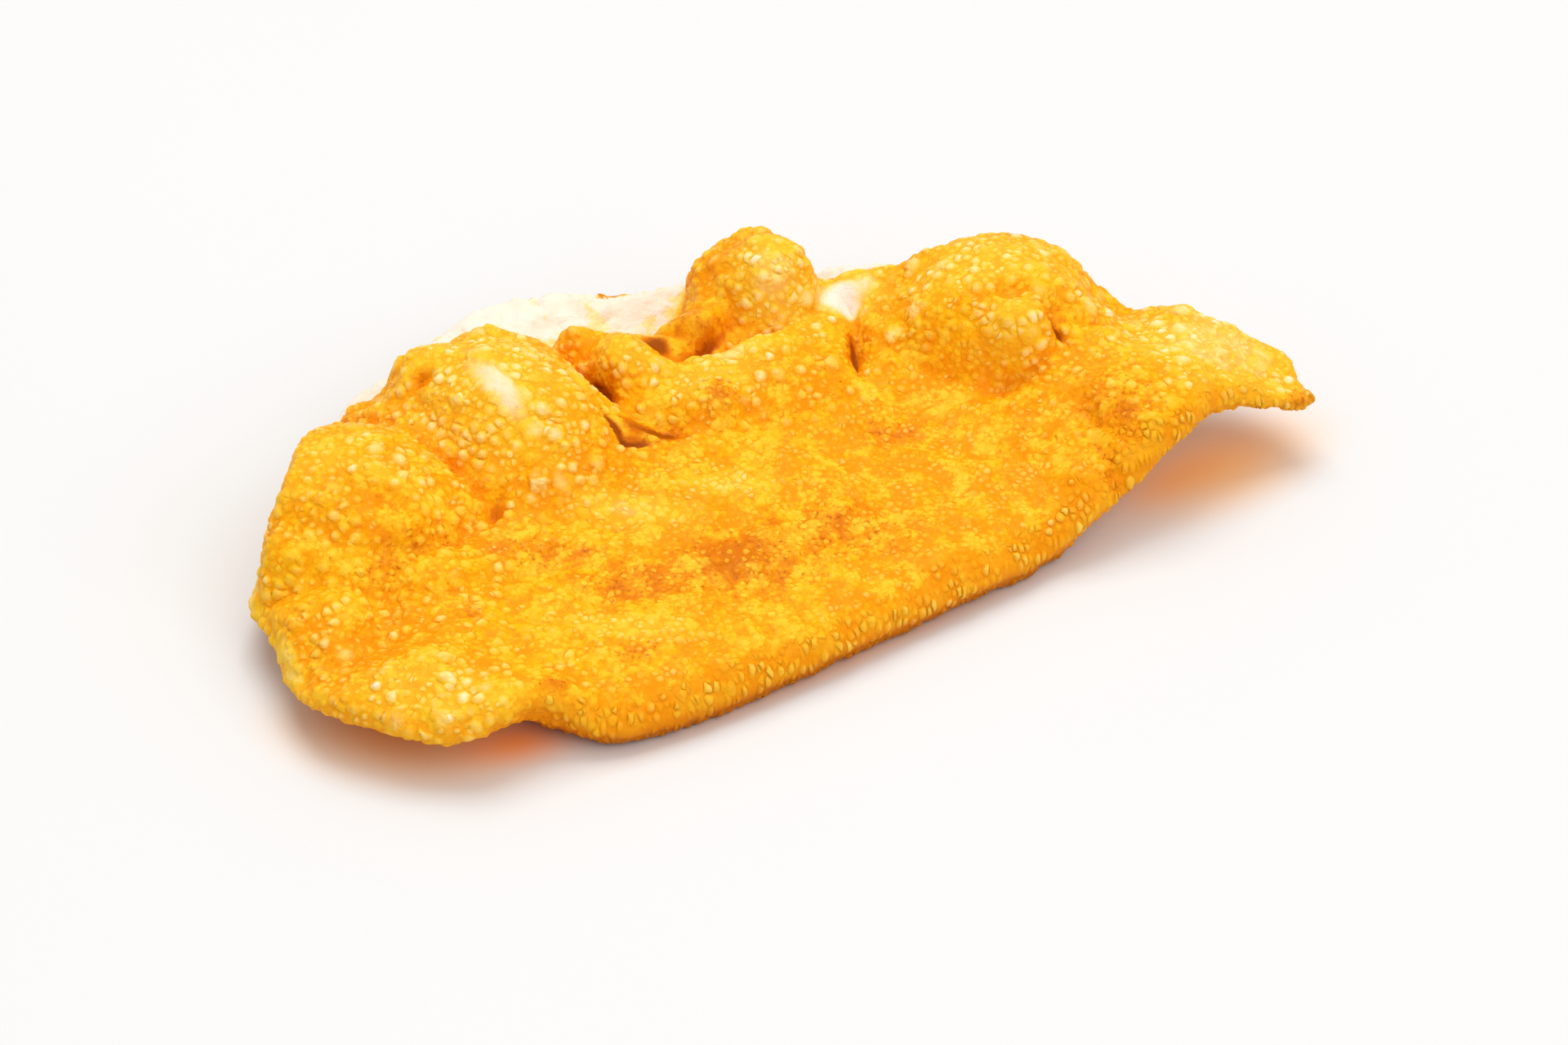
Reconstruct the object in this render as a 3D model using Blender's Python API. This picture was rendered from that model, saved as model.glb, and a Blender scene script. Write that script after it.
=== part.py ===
"""A cheburek: a half-moon turnover of thin dough, folded along its front, sealed round its back and deep-fried.

The crust is one closed solid. Its plan is an outline of named stretches, its top is a set of puffed domes blended
with a flatter middle and a thin sealed rim, and its underside is a shallow hull that rests on a flat spot.
Metres, +Z up. X runs along the fold, -Y is the fold's side, and the origin is below the middle of the outline.
"""

import math

import bpy
import numpy as np
from mathutils import Vector, noise

MM = 0.001

# Plan outline, in millimetres, anticlockwise from above.
FOLD_EDGE = (
    (-89, -58.5),
    (-82, -58),
    (-73, -64),
    (-60, -68.5),
    (-35, -69.5),
    (0, -68),
    (36, -66),
    (62, -64),
    (78, -62),
    (92, -58),
    (104, -58.5),
)
RIGHT_WING = (
    (116.5, -61.5),
    (118, -55),
    (119.5, -47),
    (117.5, -39.5),
    (111, -28.5),
    (103.5, -19.5),
    (98, -9.5),
)
BACK_RIM = (
    (95, 6),
    (87, 19),
    (76, 30),
    (63, 38.5),
    (53, 44),
    (40, 50),
    (24, 56),
    (5, 59),
    (-6, 65),
    (-22, 69),
    (-38, 66),
    (-57, 60),
    (-76, 51),
    (-91, 37),
    (-102, 24),
)
LEFT_CORNER = (
    (-112, 14),
    (-117, 4),
    (-118.5, -8),
    (-122, -20),
    (-120.5, -32),
    (-114, -44),
    (-105, -54),
    (-97, -58),
)
OUTLINE_STEP = 1.6 * MM

# Underside: where it stands clear of the table, and by how much before it is sunk to its flat seat.
LEFT_LIFT = 12 * MM
LEFT_LIFT_FROM, LEFT_LIFT_RUN = -66 * MM, 34 * MM
RIGHT_LIFT = 21 * MM
RIGHT_LIFT_FROM, RIGHT_LIFT_RUN = 30 * MM, 60 * MM
BACK_LIFT = 15 * MM
BACK_LIFT_FROM, BACK_LIFT_RUN = 10 * MM, 50 * MM
LIFT_BLEND = 6 * MM
SEAT_SINK = 3.9 * MM
UNDER_LUMP = 0.9 * MM
UNDER_LUMP_SIZE = 15 * MM

# Buckles that lift or drop the whole crust: middle x and y, radius and height, in millimetres.
BUCKLES = (
    (-84, -61, 9, 6),
    (117, -60, 14, -6),
    (-112, 16, 10, -2),
    (-22, 68, 18, 4),
    (8, 61, 18, 2.5),
    (57, 42, 16, 5),
)

# Thickness of the crust's own body.
RIM_THICKNESS = 3.2 * MM
RIM_WIDTH = 11 * MM
RIM_RISE = 15 * MM
FOLD_THICKNESS = 12.5 * MM
MIDDLE_THICKNESS = 20.5 * MM
MIDDLE_RISE = 34 * MM
TIP_THICKNESS = 6 * MM
LEFT_TIP_FROM, LEFT_TIP_RUN = -78 * MM, 26 * MM
RIGHT_TIP_FROM, RIGHT_TIP_RUN = 66 * MM, 40 * MM
BACK_SWELL = 9 * MM
BACK_SWELL_FROM, BACK_SWELL_RUN = -26 * MM, 38 * MM

# The flat of the sealed rim, and how steeply the domes rise from it. It is wider at some places along the back:
# middle x, half length and added width, in millimetres.
RIM_FLAT = 0.5 * MM
WIDE_RIMS = ((-48, 20, 9), (-10, 25.5, 27), (54, 13, 8))
RIM_WALL = 4.5
RIM_WALL_BLEND = 5 * MM

# Waves of the sealed rim.
RIM_WAVE = 1.9 * MM
RIM_WAVE_SIZE = 11 * MM
RIM_WAVE_REACH = 12 * MM

# Puffed domes: name, middle x and y, half length, half width, turn in degrees, foot and top height, all in
# millimetres, and the power of its profile (1 a flat arch, 0.5 a half ball).
DOMES = (
    ("corner_pillow", -108, -13, 18, 17, 20, 8, 21.5, 0.8),
    ("corner_flap", -101, -39, 24, 18, -35, 8, 19.5, 0.9),
    ("left", -89.5, 16, 28.5, 29, -5, 14, 35.5, 0.65),
    ("back_left", -46, 20, 26, 36, 8, 15, 39.5, 0.9),
    ("back_left_rear", -56, 33, 17, 20, 25, 20, 36.5, 0.7),
    ("back_left_knob", -14.5, 18.5, 12.5, 12, 10, 20, 34.5, 0.6),
    ("front_bump", -3, 0, 7, 6, 0, 20, 26.5, 0.8),
    ("back_lobe", 2, 21, 10.5, 6, 10, 21, 31.5, 0.55),
    ("tall", 25, 26.5, 13.5, 15, -25, 20, 42.5, 0.3),
    ("tall_shoulder", 14, 30, 12, 10, 30, 24, 34.5, 0.7),
    ("tall_front", 13, 6, 30, 18, -15, 13, 29, 0.8),
    ("gap_puff", 42, 20, 6, 5, 20, 17, 25.5, 0.5),
    ("right", 69, -5, 27.5, 24.5, -38, 17, 41.5, 0.6),
    ("right_shoulder", 89, -18, 17, 15, -40, 14, 30.5, 0.8),
    ("right_knob", 64, -19.5, 12.5, 9.5, -20, 26, 38.5, 0.7),
    ("wing", 100, -34, 26, 22, -30, 14, 25.5, 1.0),
    ("fold_knob", 70, -53, 15, 11, 20, 11, 21, 0.9),
)
DOME_BLEND = 5 * MM
FOOT_SLOPE = 40
WARP = 3.4 * MM
WARP_SIZE = 22 * MM

# Soft lumps over the whole top: size and height, in millimetres.
LUMPS = ((17, 1.2), (8.5, 0.7))

# Creases pressed between the domes: width, depth and the points they run through, in millimetres.
CREASES = (
    (2.2, 2, ((-68, 42), (-64, 28), (-63, 14), (-64, -2))),
    (2.4, 2.4, ((-62, -4), (-74, -8), (-86, -9), (-97, -5), (-108, 10))),
    (2.8, 6, ((-26, 40), (-24, 28), (-23, 16))),
    (2.4, 3.5, ((-23, 16), (-21, 4), (-14, -2))),
    (2.4, 4, ((41, 13), (38, 6), (32, -4))),
    (1.8, 3, ((71, -23), (69, -29))),
    (3.4, 2, ((64, -44), (61, -56), (61, -63))),
    (2.2, 4, ((-6, 27), (3, 14), (20, 13))),
    (2.6, 1.6, ((-94, -15), (-102, -25), (-114, -30))),
)

# Large blisters, standing out along the surface's own normal. Their radius is a share of their spacing.
BLISTER_SPACING = 7 * MM
BLISTER_RADIUS = 0.55
BLISTER_HEIGHT = 0.9 * MM
BLISTER_SEED = 11

# Mesh: rings round this point, closer together where the edge curves over.
RING_CENTRE = (0, -8)
RING_COUNT = 56
EDGE_RINGS = (0.955, 0.968, 0.979, 0.987, 0.993, 0.997)
EDGE_RADIUS = 7 * MM
SOLID_TRIANGLES = 9800
SEAT_SNAP = 0.04 * MM

CRUST_COLOUR = (0.80, 0.42, 0.06, 1)
CRUST_ROUGHNESS = 0.45


def closed_curve(points, step):
    """Points about a step apart on the smooth closed curve through the given ones (Catmull-Rom)."""
    points = np.asarray(points, float)
    found = []
    for i in range(len(points)):
        before, start, end, after = (points[(i + k) % len(points)] for k in (-1, 0, 1, 2))
        count = max(2, round(np.linalg.norm(end - start) / step))
        for t in np.arange(count) / count:
            found.append(
                0.5
                * (
                    2 * start
                    + (end - before) * t
                    + (2 * before - 5 * start + 4 * end - after) * t**2
                    + (3 * start - before - 3 * end + after) * t**3
                )
            )
    return np.array(found)


def distance_to(points, line, closed=False):
    """Distance of each point from a line of straight pieces."""
    ends = np.roll(line, -1, axis=0) if closed else line[1:]
    starts = line if closed else line[:-1]
    nearest = np.full(len(points), np.inf)
    for start, end in zip(starts, ends):
        along = end - start
        share = np.clip((points - start) @ along / max(along @ along, 1e-12), 0, 1)
        gap = np.linalg.norm(points - start - share[:, None] * along, axis=1)
        nearest = np.minimum(nearest, gap)
    return nearest


def ease(value):
    """0 below 0, 1 above 1, and a smooth step between."""
    value = np.clip(value, 0, 1)
    return value * value * (3 - 2 * value)


def smooth_max(first, second, blend):
    """The larger of two heights, rounded where they cross."""
    share = np.maximum(blend - np.abs(first - second), 0) / blend
    return np.maximum(first, second) + share * share * blend / 4


def lumps(plan, size, seed):
    """Soft noise from -1 to 1 with lumps of that size."""
    return np.array([noise.noise(Vector((x / size, y / size, seed))) for x, y in plan])


def outline():
    """The plan outline, and the stretches of it that are the fold and the sealed rim."""
    named = np.array(FOLD_EDGE + RIGHT_WING + BACK_RIM + LEFT_CORNER, float) * MM
    line = closed_curve(named, OUTLINE_STEP)
    fold = np.array(FOLD_EDGE, float) * MM
    rim = np.array(RIGHT_WING[3:] + BACK_RIM + LEFT_CORNER[:4], float) * MM
    return line, fold, rim


def buckled(plan):
    """How far the buckles lift the crust at each point."""
    lift = np.zeros(len(plan))
    for x, y, radius, height in BUCKLES:
        gap = np.linalg.norm(plan / MM - (x, y), axis=1) / radius
        lift += height * MM * np.exp(-gap * gap)
    return lift


def underside(plan):
    """Height of the underside before its edge is rounded. It is below zero where the seat is flattened."""
    x, y = plan.T
    left = LEFT_LIFT * ease((LEFT_LIFT_FROM - x) / LEFT_LIFT_RUN)
    right = RIGHT_LIFT * ease((x - RIGHT_LIFT_FROM) / RIGHT_LIFT_RUN)
    back = BACK_LIFT * ease((y - BACK_LIFT_FROM) / BACK_LIFT_RUN)
    lifted = smooth_max(smooth_max(left, right, LIFT_BLEND), back, LIFT_BLEND)
    return lifted + buckled(plan) - SEAT_SINK + UNDER_LUMP * lumps(plan, UNDER_LUMP_SIZE, 3)


def body_thickness(plan, from_fold, from_rim):
    """Thickness of dough and filling: thin at the sealed rim and the tips, full in the middle."""
    x, y = plan.T
    middle = FOLD_THICKNESS + (MIDDLE_THICKNESS - FOLD_THICKNESS) * (1 - np.exp(-from_fold / MIDDLE_RISE))
    middle += BACK_SWELL * ease((y - BACK_SWELL_FROM) / BACK_SWELL_RUN)
    at_left = ease((LEFT_TIP_FROM - x) / LEFT_TIP_RUN)
    at_right = ease((x - RIGHT_TIP_FROM) / RIGHT_TIP_RUN)
    full = middle + (TIP_THICKNESS - middle) * np.maximum(at_left, at_right)
    return RIM_THICKNESS + (full - RIM_THICKNESS) * ease((from_rim - RIM_WIDTH) / RIM_RISE)


def dome(plan, middle_x, middle_y, half_length, half_width, turn, foot, top, power):
    """Height of one puffed dome, falling steeply outside its foot."""
    x, y = (plan / MM - (middle_x, middle_y)).T
    turn = math.radians(turn)
    along = (x * math.cos(turn) + y * math.sin(turn)) / half_length
    across = (y * math.cos(turn) - x * math.sin(turn)) / half_width
    reach = along**2 + across**2
    inside = np.maximum(1 - reach, 0) ** power
    return (foot + (top - foot) * inside - FOOT_SLOPE * np.maximum(reach - 1, 0)) * MM


def rim_cap(plan, from_rim):
    """How high the domes may stand above the underside near the sealed rim."""
    flat = np.full(len(plan), RIM_FLAT)
    for middle, half_length, width in WIDE_RIMS:
        flat += width * MM * np.exp(-(((plan[:, 0] / MM - middle) / half_length) ** 6))
    return RIM_THICKNESS + RIM_WALL * np.maximum(from_rim - flat, 0)


def crust_heights(plan, fold, rim):
    """Heights of the top and the underside over each point of the plan."""
    from_rim = distance_to(plan, rim)
    under = underside(plan)
    top = under + body_thickness(plan, distance_to(plan, fold), from_rim)
    warp = WARP * np.column_stack([lumps(plan, WARP_SIZE, 21), lumps(plan, WARP_SIZE, 34)])
    for _, *shape in DOMES:
        top = smooth_max(top, dome(plan + warp, *shape), DOME_BLEND)
    top = -smooth_max(-top, -under - rim_cap(plan, from_rim), RIM_WALL_BLEND)
    for size, height in LUMPS:
        top = top + height * MM * lumps(plan, size * MM, 7)
    for width, depth, points in CREASES:
        gap = distance_to(plan, np.array(points, float) * MM) / (width * MM)
        top = top - depth * MM * np.exp(-gap * gap)
    wave = RIM_WAVE * lumps(plan, RIM_WAVE_SIZE, 5) * np.exp(-from_rim / RIM_WAVE_REACH)
    top = np.maximum(top, under + RIM_THICKNESS)
    return top + wave, under + wave


def round_edge(top, under, from_edge):
    """Brings both faces together at the outline, in a half round as thick as the crust is there."""
    half = (top - under) / 2
    middle = (top + under) / 2
    inset = np.clip(from_edge / np.minimum(half, EDGE_RADIUS), 0, 1)
    share = np.sqrt(1 - (1 - inset) ** 2)
    return middle + half * share, middle - half * share


def crust_mesh():
    """The crust's fine mesh: rings from the middle to the outline, once for each face."""
    line, fold, rim = outline()
    fractions = np.append(np.linspace(0, EDGE_RINGS[0], RING_COUNT)[1:], EDGE_RINGS[1:])
    centre = np.array(RING_CENTRE) * MM
    rings = [centre + (line - centre) * fraction for fraction in fractions]
    plan = np.vstack([centre[None], *rings])
    top, under = crust_heights(plan, fold, rim)
    top, under = round_edge(top, under, distance_to(plan, line, closed=True))
    edge = np.column_stack([line, np.mean(crust_heights(line, fold, rim), axis=0)])
    points = np.vstack([np.column_stack([plan, top]), np.column_stack([plan, under]), edge])
    count, inner = len(line), len(plan)
    faces = []
    for base, turned in ((0, False), (inner, True)):
        starts = [base + 1 + ring * count for ring in range(len(fractions))] + [2 * inner]
        for i in range(count):
            j = (i + 1) % count
            strip = [(base, starts[0] + i, starts[0] + j)]
            strip += [(a + i, b + i, b + j, a + j) for a, b in zip(starts, starts[1:])]
            faces += [face[::-1] for face in strip] if turned else strip
    return points, faces


def blister(mesh):
    """Pushes large round blisters out of the crust along its normals."""
    mesh.update()
    for vertex, normal in zip(mesh.vertices, [n.vector.copy() for n in mesh.vertex_normals]):
        place = vertex.co / BLISTER_SPACING + Vector((BLISTER_SEED, 0, 0))
        gap = noise.voronoi(place)[0][0] / BLISTER_RADIUS
        vertex.co += normal * BLISTER_HEIGHT * max(0.0, 1 - gap**2)
        vertex.co.z = max(vertex.co.z, 0)


def seat(mesh):
    """Flattens what the crust rests on, and centres it over the origin."""
    points = np.array([vertex.co for vertex in mesh.vertices])
    middle = (points.min(axis=0) + points.max(axis=0)) / 2
    for vertex in mesh.vertices:
        vertex.co.x -= middle[0]
        vertex.co.y -= middle[1]
        if vertex.co.z < SEAT_SNAP:
            vertex.co.z = 0


def crust_material():
    material = bpy.data.materials.new("fried_crust")
    material.use_nodes = True
    shader = material.node_tree.nodes["Principled BSDF"]
    shader.inputs["Base Color"].default_value = CRUST_COLOUR
    shader.inputs["Roughness"].default_value = CRUST_ROUGHNESS
    return material


def make_crust():
    points, faces = crust_mesh()
    fine = bpy.data.meshes.new("crust_fine")
    fine.from_pydata(points.tolist(), [], faces)
    blister(fine)
    crust = bpy.data.objects.new("crust", fine)
    bpy.context.scene.collection.objects.link(crust)
    fewer = crust.modifiers.new("fewer_faces", "DECIMATE")
    fewer.ratio = SOLID_TRIANGLES / sum(len(face) - 2 for face in faces)
    evaluated = crust.evaluated_get(bpy.context.evaluated_depsgraph_get())
    mesh = bpy.data.meshes.new_from_object(evaluated)
    crust.modifiers.clear()
    crust.data = mesh
    bpy.data.meshes.remove(fine)
    mesh.name = "crust"
    seat(mesh)
    mesh.materials.append(crust_material())
    mesh.shade_smooth()
    return crust


def main():
    for old in list(bpy.data.objects):
        bpy.data.objects.remove(old)
    make_crust()


main()
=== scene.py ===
"""Cheburek: a deep-fried half-moon turnover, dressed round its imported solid.

Run as a script, it builds the blistered crust, its golden finish and a plain pale stage. It is laid out as an
add-on: the panel in the 3D view's sidebar lists the same steps, with the sizes and colours that they use.
"""

import math
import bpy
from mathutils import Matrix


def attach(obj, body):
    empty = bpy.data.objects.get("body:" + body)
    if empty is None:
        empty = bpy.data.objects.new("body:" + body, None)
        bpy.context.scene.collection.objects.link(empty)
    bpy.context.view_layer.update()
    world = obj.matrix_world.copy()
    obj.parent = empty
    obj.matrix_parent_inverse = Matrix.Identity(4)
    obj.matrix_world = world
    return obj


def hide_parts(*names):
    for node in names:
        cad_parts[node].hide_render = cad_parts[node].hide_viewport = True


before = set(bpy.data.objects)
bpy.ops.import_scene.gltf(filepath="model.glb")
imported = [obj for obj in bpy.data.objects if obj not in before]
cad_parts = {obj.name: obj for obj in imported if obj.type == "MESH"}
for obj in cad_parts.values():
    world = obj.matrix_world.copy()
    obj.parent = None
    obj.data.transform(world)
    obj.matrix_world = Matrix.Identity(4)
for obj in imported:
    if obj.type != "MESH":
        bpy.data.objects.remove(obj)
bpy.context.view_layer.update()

from types import SimpleNamespace

import bmesh
import bpy
import numpy as np
from mathutils import Vector

bl_info = {
    "name": "Cheburek",
    "version": (1, 0, 0),
    "blender": (4, 5, 0),
    "location": "View3D > Sidebar > Cheburek",
    "description": "Builds a fried half-moon turnover with a blistered golden crust",
    "category": "Mesh",
}

MM = 0.001
NODE = "crust"
BODY = "root"

# The outline from above: the middle it is seen from (mm), how many directions it is found in, and how many
# points of the skin are measured against it at a time.
PLAN_CENTRE = (0, -8)
EDGE_POINTS = 360
EDGE_CHUNK = 20000

# The crust's zones, in millimetres. The front of the outline is the fold, and the rest is the sealed rim.
# Each pair is the two ends of a smooth step.
FOLD_Y = (-54, -46)
FOLD_LEFT = (-92, -80)
FOLD_DEPTH = (7, 15)
RIM_DEPTH = (0.6, 4)
RIM_FRONT = (-34, -12)
WING_X = (78, 98)
LEFT_X = (-118, -96)
PLATEAU_X = (-72, -58, 50, 66)
PLATEAU_Y = (-18, -2)

# Where the sealed rim is wider: middle x, half length, and how much wider it is there (mm).
WIDE_RIMS = ((-47, 20, 9), (-9, 25.5, 27), (55, 13, 9))
WIDE_RIM_POWER = 6

# Shares: how much of a wide rim is full, what the wing takes away, and what stays at the left and on walls.
RIM_FADE_FROM = 0.25
RIM_FADE = 0.7
LEFT_RIM = 0.35
RIM_WALL = 0.25

# How far up the surface faces, from -1 to 1, where the fold ends, on the rim's walls, underneath and on top.
FOLD_SLOPE = (0.75, 0.97)
WALL_SLOPE = (0.05, 0.55)
UNDER_SLOPE = (-0.35, 0.1)
TOP_SLOPE = (-0.2, 0.25)

# How the skin's mesh is made, and how deep it lies below its surroundings where it is a full hollow (mm).
WELD = 0.001 * MM
SOFT_ROUNDS = 6
HOLLOW_ROUNDS = 60
HOLLOW_DEPTH = 0.7

# The blisters: how they are packed, how they grow, how many places have one, how far they drift and crowd
# together, and how much they are stretched at the fold.
SEED_SHIFT = 7.31
LAYER_SHIFT = 13.7
PACKING = 0.85
ROUNDNESS = 0.85
SEAM = 0.14
LEAST_GROWN = 0.45
BLISTER_RADII = (0.44, 0.68)
FOLD_RADII = (0.5, 0.8)
LARGE_SHARE = 0.5
MEDIUM_SHARE = 0.92
SMALL_SHARE = 0.95
FOLD_SHARE = 1.0
DRIFT = 1.4 * MM
DRIFT_SCALE = 130.0
CROWD_SCALE = 75.0
FOLD_STRETCH = 0.5

# The rim's crinkle as noise, how far the underside sinks, and how strongly the finish repeats the blisters.
CRINKLE_SCALE = 210.0
CRINKLE_GAIN = 3.0
UNDER_SINK = 0.8 * MM
BLISTER_BUMP = 0.45

# The sizes that the blisters' nodes take, by the name of their property.
BLISTER_SIZES = (
    "large_spacing",
    "large_height",
    "medium_spacing",
    "medium_height",
    "small_spacing",
    "small_height",
    "fold_spacing",
    "fold_height",
    "rim_crinkle",
)

# The crust's mottle, from coarse to fine, as the noise's scale to the metre.
PATCH_SCALE = 42.0
BLOTCH_SCALE = 140.0
MOTTLE_SCALE = 230.0
GRAIN_SCALE = 900.0

# The heights between which the foot of the fold turns brown, and then dark: a painted contact shade where
# the fold meets the floor.
FOOT_SHADE_BROWN = (7.0 * MM, 3.4 * MM)
FOOT_SHADE_DARK = (4.4 * MM, 2.4 * MM)

# The floor's side (m), how much its darker clouds keep of its colour, and their scale.
FLOOR_SIDE = 6
FLOOR_DARKER = 0.985
FLOOR_CLOUDS = 6.0

# The lights, all aimed at the origin: where each one is, how wide it is, both in metres, and its colour.
LIGHTS = {
    "key": ((0.35, 0.85, 2.2), 1.5, (1.0, 0.985, 0.96)),
    "fill": ((0.5, -2.0, 2.0), 2.2, (1.0, 0.99, 0.98)),
    "top": ((0.2, 0.0, 2.4), 2.0, (1.0, 1.0, 1.0)),
}
TOP_LIGHT_SHARE = 0.3
SKY_COLOUR = (1, 0.995, 0.99, 1)
SENSOR_WIDTH = 36

# Marks that stand out on the crust: middle x and y, half length, half width (mm), turn (degrees), height
# (mm), and how brown, pale and smooth it is there. Marks add up, and a value below 0 takes away. The brown
# in the pits, slits, creases and dents is partly painted shade, and the pale on the domes' tops is partly
# painted highlight.
# A power of 1 would make them bell-shaped, and more makes them flatter on top.
MARK_POWER = 1.3
MARKS = {
    "left dome's dent": (-86, 2, 9, 2.8, -48, -1.6, 0.15, -0.3, 0.3),
    "left dome's ridge": (-82, 5, 9, 3.0, -46, 0.8, 0, 0.3, 0.2),
    "left dome's end": (-61, -4.5, 3.4, 1.6, 35, -1.1, 0.8, 0, 0.6),
    # Painted shade: brown under the left dome's overhanging lower side and in the crease between the left
    # domes.
    "left dome's lower side": (-85, -9, 17, 3.6, 6, -0.9, 0.4, -0.3, 0),
    "crease between the left domes": (-64.8, 11, 13, 1.7, -79, -1.2, 0.35, -0.4, 0.2),
    "left dome's top": (-92, 18, 16, 12, 0, 0, 0, 0.2, 0),
    "left domes' notch": (-64.5, 41.5, 6, 5, -60, -5.5, 0, 0, 0),
    # Painted highlight: partly the back dome's pale, and the smooth streak's pale stripe along its ridge. The
    # dimple's brown is partly painted shade in the hole.
    "back dome": (-48, 22, 22, 24, 0, 0, -0.2, 0.4, 0),
    "dimple": (-59, 31, 2.4, 2.2, 0, -2.2, 0.45, -0.5, 0.8),
    "smooth streak": (-48.8, 14, 11, 3.4, -83, 0.6, -0.3, 0.56, 0.9),
    # Partly painted shade: the brown of the pits and of the bulge between them; the first pit's dark is a
    # shaded flank beside the dome.
    "first pit": (-22.6, 17.6, 5.4, 2.1, -79, -1.2, 2.2, -0.6, 1.1),
    "second pit": (-28, 1.8, 5.0, 1.2, -86, -1.4, 1.4, -0.3, 0.5),
    "second pit's foot": (-24.8, -2.6, 3.8, 1.1, -18, -1.2, 1.3, -0.3, 0.5),
    "bulge in the pits": (-23.6, 2, 3.6, 3.0, 0, 0.7, 0.85, -0.5, 1),
    "hooked pit": (-17.6, -1.6, 5.0, 2.4, -20, -1.5, 1.3, -0.3, 0.6),
    # Partly painted shade: the smooth lobe's brown, where the tall dome shades it, and the brown of the
    # lobe's foot and dark end in the creases round it.
    "smooth lobe": (3, 20.5, 10.5, 4.8, 4, 2.2, 0.42, -0.6, 1.1),
    "lobe's foot": (3.5, 16, 8.5, 1.2, 12, -1.6, 1.0, 0, 0.4),
    "lobe's dark end": (-7, 18, 3.4, 3.0, 0, -1.2, 1.3, -0.6, 0.6),
    "crescent": (10, 8, 10, 3.4, -18, 1.2, -0.2, 0.5, 0.2),
    "light saddle": (-3, 8, 15, 7, -30, 0, -0.1, 0.4, 0),
    "browned bump": (-2, 0, 5.0, 5.0, 0, 0.8, 0.6, -0.2, 0),
    "tall dome's front": (24, 18, 11, 10, 0, 0, -0.2, 0.62, 0),
    "tall dome's left side": (23.5, 34, 5.5, 4.5, -30, -2.4, 0, 0, 0),
    "tall dome's left foot": (15, 38, 6, 5, -40, 2.6, 0, 0.1, 0),
    "tall dome's right side": (33, 22, 5, 5, 0, 1.8, 0, 0, 0),
    # Painted shade: brown in the groove between the domes and in its slit.
    "gap between domes": (36, 3, 10, 2.2, 62, -0.5, 0.5, 0, 0.4),
    "gap's dark slit": (34.8, 1.2, 4.8, 0.9, 66, -1.0, 1.0, 0, 0.4),
    "pale puff": (40.3, 14.6, 6.0, 5.4, 20, 1.0, -1.2, 1.2, 0.9),
    "pale strip beside the puff": (48.5, 16, 7, 3.0, 72, 0, -0.3, 0.5, 0.3),
    # Partly painted shade: the brown in the right dome's hollow.
    "right dome's hollow": (66, -15, 4.2, 3.0, -25, -2.0, 0.25, -0.4, 0.3),
    "right dome's top": (67, -2, 18, 11, -35, -1.2, -0.1, 0.5, 0.1),
    # Painted light: the pale on the right knob's top, which faces away from the lamps.
    "right knob's top": (62, -21.5, 6.5, 4.2, -25, 0.4, -0.1, 0.45, 0.1),
    "right knob's foot": (59.5, -27.5, 9, 3.6, -25, -2.6, 0.1, 0, 0.1),
    # Painted shade: brown in the right slit and in the right shoulder's hollow.
    "right slit": (71.3, -25.8, 2.3, 0.9, -75, -1.6, 1.4, 0, 0.6),
    "right shoulder's hollow": (77, -25, 7, 2.4, -25, -1.2, 0.25, -0.2, 0.2),
    "wing's notch": (94.5, -18, 8, 7, -35, -7.5, 0, 0, 0),
    "wing's shoulder": (104, -28, 6, 4, -48, 1.6, 0, 0, 0),
    # Painted shade: brown in the wing's crease.
    "wing's crease": (62, -57, 8, 1.6, 78, -1.0, 0.45, 0, 0.3),
    "wing's root": (72, -50, 9, 10, 0, 0, 0.45, -0.4, 0),
    "wing's tip": (115, -60, 5, 3.5, 0, 0, 0.7, 0, 0),
    "wing": (105, -42, 24, 18, -35, 0, -0.2, 0.66, 0),
    "scar": (-77, -56, 4.5, 2.0, -20, 0.5, 0.55, 0, 0.5),
    "small brown mark": (-82, -29, 2.8, 1.8, 10, -0.5, 0.55, 0, 0.4),
    "first browned patch": (-23, -42, 15, 9.5, -26, 0, 0.7, -0.4, 0),
    "second browned patch": (2, -43, 17, 8, -30, 0, 0.5, -0.3, 0),
    "third browned patch": (-46, -37, 12, 7, -30, 0, 0.5, -0.2, 0),
    "fourth browned patch": (-56, -54, 6, 3.5, 0, 0, 0.45, 0, 0),
    "left browned streak": (-57, -19, 12, 4.5, -30, 0, 0.45, 0, 0),
    "fifth browned patch": (30, -22, 9, 4.5, -20, 0, 0.4, 0, 0),
    "light patch": (-35, -17, 13, 3.6, -33, 0.3, -0.3, 0.6, 0),
    "light streak": (-12, -20, 11, 3.2, -24, 0.3, -0.3, 0.5, 0),
    "front light streak": (-53, -48, 13, 3.4, -38, 0.2, -0.3, 0.45, 0),
    "flap": (-101, -46, 16, 7.0, -38, 0, -0.1, 0.5, 0),
    "torn brown edge": (5, 59, 7, 1.8, -15, 0, 0.5, -1.2, 0),
}

# Where the floor under the lifted corners and along the fold is painted warm: a painted shade with warm
# bounce light from the crust under the corners, and a painted contact shade along the fold. Middle x and y,
# half length, half width (mm), turn (degrees), how much, and how deep the orange is (0 to 1).
PAINTED_GLOWS = {
    "under the wing": (98, -54, 40, 21, 5, 0.85, 0),
    "close under the wing": (86, -52, 20, 9, 10, 0.5, 0.4),
    "under the flap": (-104, -36, 37, 22, -50, 0.75, 0),
    "at the flap's notch": (-84, -51, 19, 11, -15, 0.8, 1),
    "along the fold": (-8, -66, 80, 5, 3, 0.4, 0.3),
}


def ease(values, low, high):
    """0 below low, 1 above high and a smooth step between."""
    share = np.clip((values - low) / (high - low), 0, 1)
    return share * share * (3 - 2 * share)


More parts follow.
